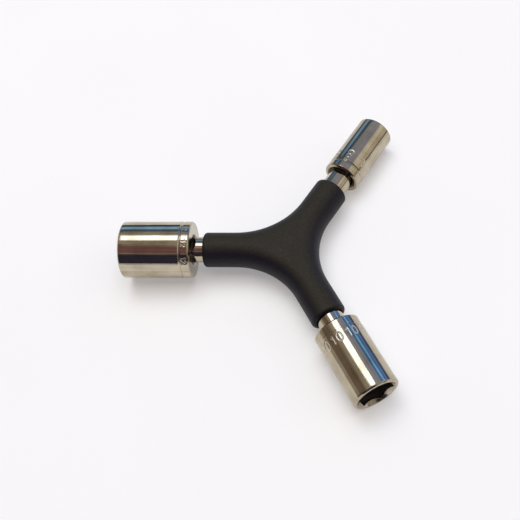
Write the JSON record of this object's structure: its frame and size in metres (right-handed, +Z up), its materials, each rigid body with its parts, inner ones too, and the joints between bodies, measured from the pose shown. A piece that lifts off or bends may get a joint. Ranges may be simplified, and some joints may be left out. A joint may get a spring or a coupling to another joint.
{
  "type": "y wrench",
  "caption": "Three-armed hand wrench: a moulded Y grip round welded shanks, with a removable hexagon socket of a different size held by a sprung ball on the square end of each arm.",
  "frame": {"origin": "on the surface that the wrench lies on, under the middle of its outline", "axes": "+Z up, square to the surface; -X along the arm with the 12 mm socket, which tips up 2.3 degrees because its socket is the widest; +Y from the arm with the 10 mm socket towards the arm with the 8 mm socket"},
  "size_m": [0.0848, 0.0992, 0.0186],
  "materials": {
    "chrome": "polished chrome plate",
    "grip": "moulded black with a soft sheen",
    "steel": "plain steel"
  },
  "bodies": {
    "wrench": {"grip": "grip", "shank_8": "chrome", "shank_10": "chrome", "shank_12": "chrome", "hub_weld": "steel", "detent_spring_8": "steel", "detent_spring_10": "steel", "detent_spring_12": "steel"},
    "socket_8": {"socket_8": "chrome"},
    "socket_10": {"socket_10": "chrome"},
    "socket_12": {"socket_12": "chrome"},
    "ball_8": {"detent_ball_8": "steel"},
    "ball_10": {"detent_ball_10": "steel"},
    "ball_12": {"detent_ball_12": "steel"}
  },
  "joints": [
    {"name": "socket_8_draw", "type": "slide", "parent": "wrench", "child": "socket_8", "axis": [0.4994, 0.8658, -0.0306], "range_m": [0, 0.0085]},
    {"name": "socket_10_draw", "type": "slide", "parent": "wrench", "child": "socket_10", "axis": [0.4998, -0.8661, -0.0101], "range_m": [0, 0.0085]},
    {"name": "socket_12_draw", "type": "slide", "parent": "wrench", "child": "socket_12", "axis": [-0.9992, 0.0002, 0.0407], "range_m": [0, 0.0085]},
    {"name": "ball_8_press", "type": "slide", "parent": "wrench", "child": "ball_8", "axis": [0.0407, 0.0119, 0.9991], "range_m": [0, 0.00045]},
    {"name": "ball_10_press", "type": "slide", "parent": "wrench", "child": "ball_10", "axis": [0.1903, 0.0985, 0.9768], "range_m": [0, 0.00045]},
    {"name": "ball_12_press", "type": "slide", "parent": "wrench", "child": "ball_12", "axis": [0.0407, 0.0119, 0.9991], "range_m": [0, 0.00045]}
  ]
}
